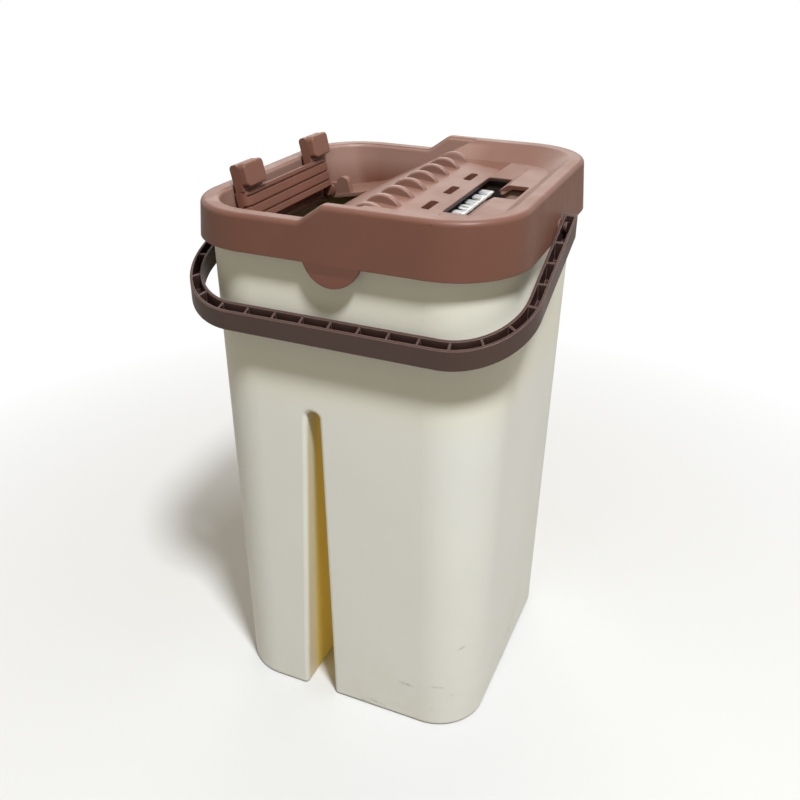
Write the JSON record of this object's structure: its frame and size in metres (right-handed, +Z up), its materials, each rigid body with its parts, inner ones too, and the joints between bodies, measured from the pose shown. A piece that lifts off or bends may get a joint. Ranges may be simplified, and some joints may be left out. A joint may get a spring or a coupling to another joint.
{
  "type": "mop bucket",
  "caption": "Tall square bucket with separate wells for a flat mop, a cover with a wringing flap and a brush-lined wash slot, and a swinging bail handle.",
  "frame": {"origin": "on the ground under the middle of the bucket, on the bottom of the wider leg", "axes": "+Z up, +X from the wringing side to the washing side, -Y towards the lowered handle"},
  "size_m": [0.2212, 0.2112, 0.3687],
  "materials": {
    "bucket_plastic": "satin moulded cream plastic",
    "cover_plastic": "satin moulded brown plastic",
    "handle_plastic": "satin moulded dark brown plastic",
    "flap_plastic": "satin moulded brown plastic",
    "pad_rubber": "smooth brown rubber",
    "lip_rubber": "dark rubber",
    "steel": "drawn stainless wire",
    "brush_plastic": "dark brown moulded plastic",
    "brush_fibre": "white nylon fibre"
  },
  "bodies": {
    "bucket": {"bucket_shell": "bucket_plastic", "cover_tray": "cover_plastic", "handle_pin_left": "handle_plastic", "handle_pin_right": "handle_plastic", "flap_pin_front": "flap_plastic", "flap_pin_rear": "flap_plastic", "squeeze_lip": "lip_rubber", "lip_clamp": "flap_plastic", "lip_screws": "steel", "brush_backing": "brush_plastic", "brush_bristles": "brush_fibre", "brush_screws": "steel"},
    "handle": {"bail_handle": "handle_plastic"},
    "flap": {"squeeze_flap": "flap_plastic", "flap_pad_front": "pad_rubber", "flap_pad_rear": "pad_rubber"}
  },
  "joints": [
    {"name": "handle_swing", "type": "hinge", "parent": "bucket", "child": "handle", "pos_m": [0, 0, 0.3385], "axis": [-1, 0, 0], "range_deg": [0, 220]},
    {"name": "flap_tilt", "type": "hinge", "parent": "bucket", "child": "flap", "pos_m": [-0.0785, 0, 0.32827], "axis": [0, 1, 0], "range_deg": [0, 28]}
  ]
}
